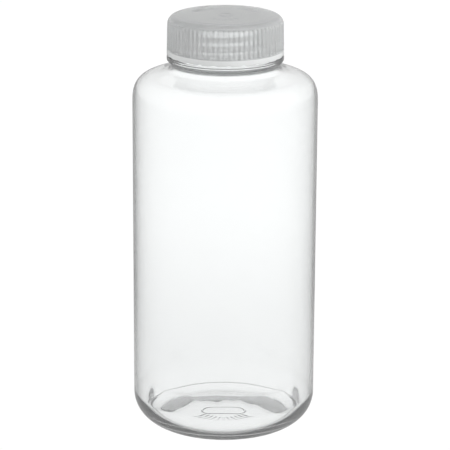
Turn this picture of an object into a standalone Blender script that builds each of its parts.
"""A one-litre wide-mouth reagent bottle: a clear moulded bottle, its ribbed screw cap and the sealing disc inside it.

The origin is the middle of the standing face, +Z points up, and -Y is the front. All lengths are in metres.
"""

from math import atan, cos, degrees, pi, radians, sin, tan

import bmesh
import bpy
import numpy as np
from mathutils import Matrix, Vector

MM = 0.001

# The sides of every turned piece. It equals the number of ribs, so that each groove falls on a facet edge.
SIDES = 72
FULL_TURN = 2 * pi
MERGE = 0.00001

# The body of the bottle.
BODY_RADIUS = 45.7 * MM
WALL = 1.3 * MM
BASE_WALL = 3.0 * MM
HEEL_RADIUS = 14.8 * MM
STANDING_WIDTH = 2.4 * MM
PUSH_UP_HEIGHT = 1.8 * MM
PUSH_UP_POWER = 2.0
SHOULDER_START = 164.75 * MM
SHOULDER_HEIGHT = 15.3 * MM
SHOULDER_INNER_RADIUS = 28.4 * MM
SHOULDER_POWER = 3.16
SHOULDER_SPACING = 1.6

# The foot of the neck, where the shoulder lifts towards it.
FOOT_RISE = 2.2 * MM
FOOT_REACH = 8.5 * MM
FOOT_STEEPNESS = degrees(atan(2 * FOOT_RISE / FOOT_REACH))

# The neck, with the collar that the cap comes down to.
NECK_FILLET = 2.4 * MM
COLLAR_RADIUS = 28.77 * MM
COLLAR_TOP = 189.2 * MM
COLLAR_TOP_ROUND = 0.4 * MM
COLLAR_ROUND = 1.6 * MM
COLLAR_ROUND_TOP = 187.8 * MM
COLLAR_TAPER = 60
THREAD_ROOT_RADIUS = 25.0 * MM
BORE_RADIUS = 22.8 * MM
FLARE_TOP = 192.5 * MM
RIM_HEIGHT = 205.5 * MM
RIM_ROUND = 0.6 * MM

# The screw thread: right-handed, with one round-topped ridge on the neck and one in the cap.
PITCH = 4.2 * MM
NECK_RIDGE_RADIUS = 1.15 * MM
NECK_RIDGE_START = 193.95 * MM
NECK_RIDGE_TURNS = 2.36
CAP_RIDGE_RADIUS = 1.1 * MM
CAP_RIDGE_TURNS = 2.2
RIDGE_START_ANGLE = -pi
RIDGE_STEPS_A_TURN = 36
RIDGE_RUN_OUT = radians(30)
RIDGE_END_SHARE = 0.25

# The cap.
GAP = 0.3 * MM
CAP_BOTTOM = 189.8 * MM
CAP_LOW_RADIUS = 28.77 * MM
CAP_HIGH_RADIUS = 28.47 * MM
CAP_TOP = 209.0 * MM
CAP_EDGE_ROUND = 4.2 * MM
CAP_INNER_RADIUS = 26.45 * MM
CAP_INNER_CHAMFER = 0.5 * MM
LABEL_DISC_RADIUS = 22.5 * MM
LABEL_DISC_HEIGHT = 0.4 * MM
RIB_BOTTOM = 192.8 * MM
RIB_TOP = 207.0 * MM
GROOVE_RADIUS = 1.0 * MM
GROOVE_DEPTH = 0.45 * MM
GROOVE_SIDES = 8

# The sealing disc between the rim and the cap's top.
LINER_THICKNESS = 1.0 * MM
LINER_RADIUS = 26.1 * MM
LINER_BOTTOM = RIM_HEIGHT + GAP
PANEL_UNDERSIDE = LINER_BOTTOM + LINER_THICKNESS + GAP


def clear_scene():
    """Removes every object of the open scene."""
    for item in list(bpy.data.objects):
        bpy.data.objects.remove(item, do_unlink=True)


def new_collection(name):
    """A collection linked to the scene."""
    collection = bpy.data.collections.new(name)
    bpy.context.scene.collection.children.link(collection)
    return collection


def plastic(name, colour, roughness, alpha):
    """A moulded plastic: colour, roughness and how solid it looks, with no metal in it."""
    material = bpy.data.materials.new(name)
    material.use_nodes = True
    shader = material.node_tree.nodes["Principled BSDF"]
    shader.inputs["Base Color"].default_value = (*colour, 1.0)
    shader.inputs["Roughness"].default_value = roughness
    shader.inputs["Metallic"].default_value = 0.0
    shader.inputs["Alpha"].default_value = alpha
    return material


def arc(centre, radius, start, end, steps):
    """Points of a circle's arc, from one angle to another in degrees, both ends included."""
    turn = np.radians(np.linspace(start, end, steps + 1))
    return [(centre[0] + radius * cos(a), centre[1] + radius * sin(a)) for a in turn]


def push_up(radius, height, base, steps):
    """The raised middle of the base from its edge to the axis: a dome that falls off faster towards its edge."""
    reach = np.linspace(1, 0, steps + 1)
    return [(radius * r, base + height * (1 - r**PUSH_UP_POWER)) for r in reach]


def shoulder(inset, steps):
    """The shoulder from the neck's foot down to the wall: a quarter of a superellipse that lifts near the neck.

    The points lie closer together near the neck. The inset moves the curve inwards from the wall and the top.
    """
    turn = pi / 2 * (1 - np.linspace(0, 1, steps + 1) ** SHOULDER_SPACING)
    share = 2 / SHOULDER_POWER
    inner = SHOULDER_INNER_RADIUS - inset * sin(radians(FOOT_STEEPNESS))
    points = []
    for a in turn:
        across = (BODY_RADIUS - inset - inner) * max(cos(a), 0) ** share
        lift = FOOT_RISE * max(1 - across / FOOT_REACH, 0) ** 2
        points.append((inner + across, SHOULDER_START + (SHOULDER_HEIGHT - inset) * sin(a) ** share + lift))
    return points


def flare(bottom, top, steps):
    """The inside of the neck from its wide foot up to the bore: a curve that is upright at both ends."""
    share = np.linspace(0, 1, steps + 1)
    ease = share * share * (3 - 2 * share)
    return [(bottom[0] + (top[0] - bottom[0]) * e, bottom[1] + (top[1] - bottom[1]) * s) for s, e in zip(share, ease)]


def bottle_outline():
    """Half of the bottle's section, from the axis up the inside, over the rim and down the outside to the axis."""
    heel_centre = (BODY_RADIUS - HEEL_RADIUS, HEEL_RADIUS)
    inner_heel_centre = (heel_centre[0], HEEL_RADIUS + BASE_WALL - WALL)
    standing_edge = heel_centre[0] - STANDING_WIDTH
    steep = radians(FOOT_STEEPNESS)
    fillet_end = -90 - FOOT_STEEPNESS
    fillet_centre = (
        SHOULDER_INNER_RADIUS + NECK_FILLET * sin(steep),
        SHOULDER_START + SHOULDER_HEIGHT + FOOT_RISE + NECK_FILLET * cos(steep),
    )
    neck_radius = fillet_centre[0] - NECK_FILLET
    rim_inner = (BORE_RADIUS + RIM_ROUND, RIM_HEIGHT - RIM_ROUND)
    rim_outer = (THREAD_ROOT_RADIUS - RIM_ROUND, RIM_HEIGHT - RIM_ROUND)
    inside = [
        *reversed(push_up(standing_edge, PUSH_UP_HEIGHT, BASE_WALL, 4)),
        *arc(inner_heel_centre, HEEL_RADIUS - WALL, -90, 0, 4),
        *reversed(shoulder(WALL, 7)),
        *arc(fillet_centre, NECK_FILLET + WALL, fillet_end, -180, 2)[1:],
        *flare((neck_radius - WALL, fillet_centre[1]), (BORE_RADIUS, FLARE_TOP), 4)[1:],
    ]
    rim = [*arc(rim_inner, RIM_ROUND, 180, 90, 1), *arc(rim_outer, RIM_ROUND, 90, 0, 1)]
    collar_round = arc((COLLAR_RADIUS - COLLAR_ROUND, COLLAR_ROUND_TOP), COLLAR_ROUND, 0, -COLLAR_TAPER, 2)
    taper_start = collar_round[-1]
    taper_end = (neck_radius, taper_start[1] - (taper_start[0] - neck_radius) * tan(radians(COLLAR_TAPER)))
    collar = [
        (THREAD_ROOT_RADIUS, COLLAR_TOP),
        *arc((COLLAR_RADIUS - COLLAR_TOP_ROUND, COLLAR_TOP - COLLAR_TOP_ROUND), COLLAR_TOP_ROUND, 90, 0, 1),
        *collar_round,
        taper_end,
    ]
    outside = [
        *arc(fillet_centre, NECK_FILLET, -180, fillet_end, 2)[:-1],
        *shoulder(0, 8),
        *arc(heel_centre, HEEL_RADIUS, 0, -90, 5),
        *push_up(standing_edge, PUSH_UP_HEIGHT, 0, 4),
    ]
    return inside + rim + collar + outside


def cap_outline():
    """Half of the cap's section, from the axis along the underside, down the inside, and up the outside to the axis."""
    inside = [
        (0, PANEL_UNDERSIDE),
        (CAP_INNER_RADIUS, PANEL_UNDERSIDE),
        (CAP_INNER_RADIUS, CAP_BOTTOM + CAP_INNER_CHAMFER),
        (CAP_INNER_RADIUS + CAP_INNER_CHAMFER, CAP_BOTTOM),
    ]
    edge_centre = (CAP_HIGH_RADIUS - CAP_EDGE_ROUND, CAP_TOP - CAP_EDGE_ROUND)
    outside = [
        (CAP_LOW_RADIUS, CAP_BOTTOM),
        *arc(edge_centre, CAP_EDGE_ROUND, 0, 90, 4),
        (LABEL_DISC_RADIUS + LABEL_DISC_HEIGHT, CAP_TOP),
        (LABEL_DISC_RADIUS, CAP_TOP + LABEL_DISC_HEIGHT),
        (0, CAP_TOP + LABEL_DISC_HEIGHT),
    ]
    return list(reversed(inside + outside))


def liner_outline():
    """Half of the sealing disc's section, from the axis along the top and back along the underside."""
    top = LINER_BOTTOM + LINER_THICKNESS
    return [(0, top), (LINER_RADIUS, top), (LINER_RADIUS, LINER_BOTTOM), (0, LINER_BOTTOM)]


def turned(name, outline, collection, material):
    """A solid of revolution about Z. Its section runs top to bottom along the outer side."""
    mesh = bpy.data.meshes.new(name)
    points = [(r, 0, z) for r, z in outline]
    mesh.from_pydata(points, [(i, i + 1) for i in range(len(points) - 1)], [])
    mesh.materials.append(material)
    piece = bpy.data.objects.new(name, mesh)
    collection.objects.link(piece)
    screw = piece.modifiers.new("turn", "SCREW")
    screw.axis = "Z"
    screw.angle = FULL_TURN
    screw.steps = screw.render_steps = SIDES
    screw.use_merge_vertices = True
    screw.merge_threshold = MERGE
    screw.use_smooth_shade = True
    return piece


def hidden(tool):
    """Marks a piece that only cuts or joins, and isn't part of the bottle."""
    tool.hide_render = True
    tool.display_type = "WIRE"
    return tool


def helical_ridge(name, radius, thickness, start, turns, collection):
    """A round rod wound as a right-handed helix about Z, thinner towards its two ends."""
    steps = round(turns * RIDGE_STEPS_A_TURN)
    total = turns * FULL_TURN
    curve = bpy.data.curves.new(name, "CURVE")
    curve.dimensions = "3D"
    curve.bevel_depth = thickness
    curve.bevel_resolution = 1
    curve.use_fill_caps = True
    spline = curve.splines.new("POLY")
    spline.points.add(steps)
    for point, turn in zip(spline.points, np.linspace(0, total, steps + 1)):
        angle = RIDGE_START_ANGLE + turn
        lift = start + PITCH * turn / FULL_TURN
        point.co = (radius * cos(angle), radius * sin(angle), lift, 1)
        nearest_end = min(turn, total - turn)
        point.radius = RIDGE_END_SHARE + (1 - RIDGE_END_SHARE) * min(nearest_end / RIDGE_RUN_OUT, 1)
    rod = bpy.data.objects.new(name + "_path", curve)
    collection.objects.link(rod)
    return hidden(mesh_from_curve(name, rod, collection))


def mesh_from_curve(name, rod, collection):
    """A mesh object in place of a curve object, with its end caps welded on."""
    bpy.context.view_layer.update()
    evaluated = rod.evaluated_get(bpy.context.evaluated_depsgraph_get())
    mesh = bpy.data.meshes.new_from_object(evaluated)
    work = bmesh.new()
    work.from_mesh(mesh)
    bmesh.ops.remove_doubles(work, verts=work.verts, dist=MERGE)
    bmesh.ops.recalc_face_normals(work, faces=work.faces)
    work.to_mesh(mesh)
    work.free()
    piece = bpy.data.objects.new(name, mesh)
    piece.matrix_world = rod.matrix_world
    collection.objects.link(piece)
    bpy.data.objects.remove(rod, do_unlink=True)
    return piece


def grip_grooves(name, collection):
    """Upright round bars in a ring, which cut the grooves between the cap's ribs."""
    mesh = bpy.data.meshes.new(name)
    work = bmesh.new()
    reach = CAP_LOW_RADIUS + GROOVE_RADIUS - GROOVE_DEPTH
    middle = Vector((reach, 0, (RIB_BOTTOM + RIB_TOP) / 2))
    for i in range(SIDES):
        bmesh.ops.create_cone(
            work,
            cap_ends=True,
            segments=GROOVE_SIDES,
            radius1=GROOVE_RADIUS,
            radius2=GROOVE_RADIUS,
            depth=RIB_TOP - RIB_BOTTOM,
            matrix=Matrix.Rotation((i + 0.5) * FULL_TURN / SIDES, 4, "Z") @ Matrix.Translation(middle),
        )
    work.to_mesh(mesh)
    work.free()
    piece = bpy.data.objects.new(name, mesh)
    collection.objects.link(piece)
    return hidden(piece)


def combine(piece, tool, operation):
    """Joins a tool to a piece, or cuts the piece with it."""
    boolean = piece.modifiers.new(tool.name, "BOOLEAN")
    boolean.object = tool
    boolean.operation = operation
    boolean.solver = "EXACT"


def main():
    clear_scene()
    parts = new_collection("reagent_bottle")
    tools = new_collection("cutters")
    clear = plastic("clear_polycarbonate", (0.93, 0.94, 0.94), 0.04, 0.35)
    milky = plastic("natural_polypropylene", (0.80, 0.81, 0.81), 0.35, 0.8)
    white = plastic("white_polyethylene", (0.86, 0.86, 0.86), 0.5, 1.0)

    bottle = turned("bottle", bottle_outline(), parts, clear)
    neck_ridge = helical_ridge(
        "neck_ridge", THREAD_ROOT_RADIUS, NECK_RIDGE_RADIUS, NECK_RIDGE_START, NECK_RIDGE_TURNS, tools
    )
    combine(bottle, neck_ridge, "UNION")

    cap = turned("screw_cap", cap_outline(), parts, milky)
    cap_ridge = helical_ridge(
        "cap_ridge",
        CAP_INNER_RADIUS,
        CAP_RIDGE_RADIUS,
        NECK_RIDGE_START - PITCH / 2,
        CAP_RIDGE_TURNS,
        tools,
    )
    combine(cap, cap_ridge, "UNION")
    combine(cap, grip_grooves("grip_grooves", tools), "DIFFERENCE")

    turned("cap_liner", liner_outline(), parts, white)


main()
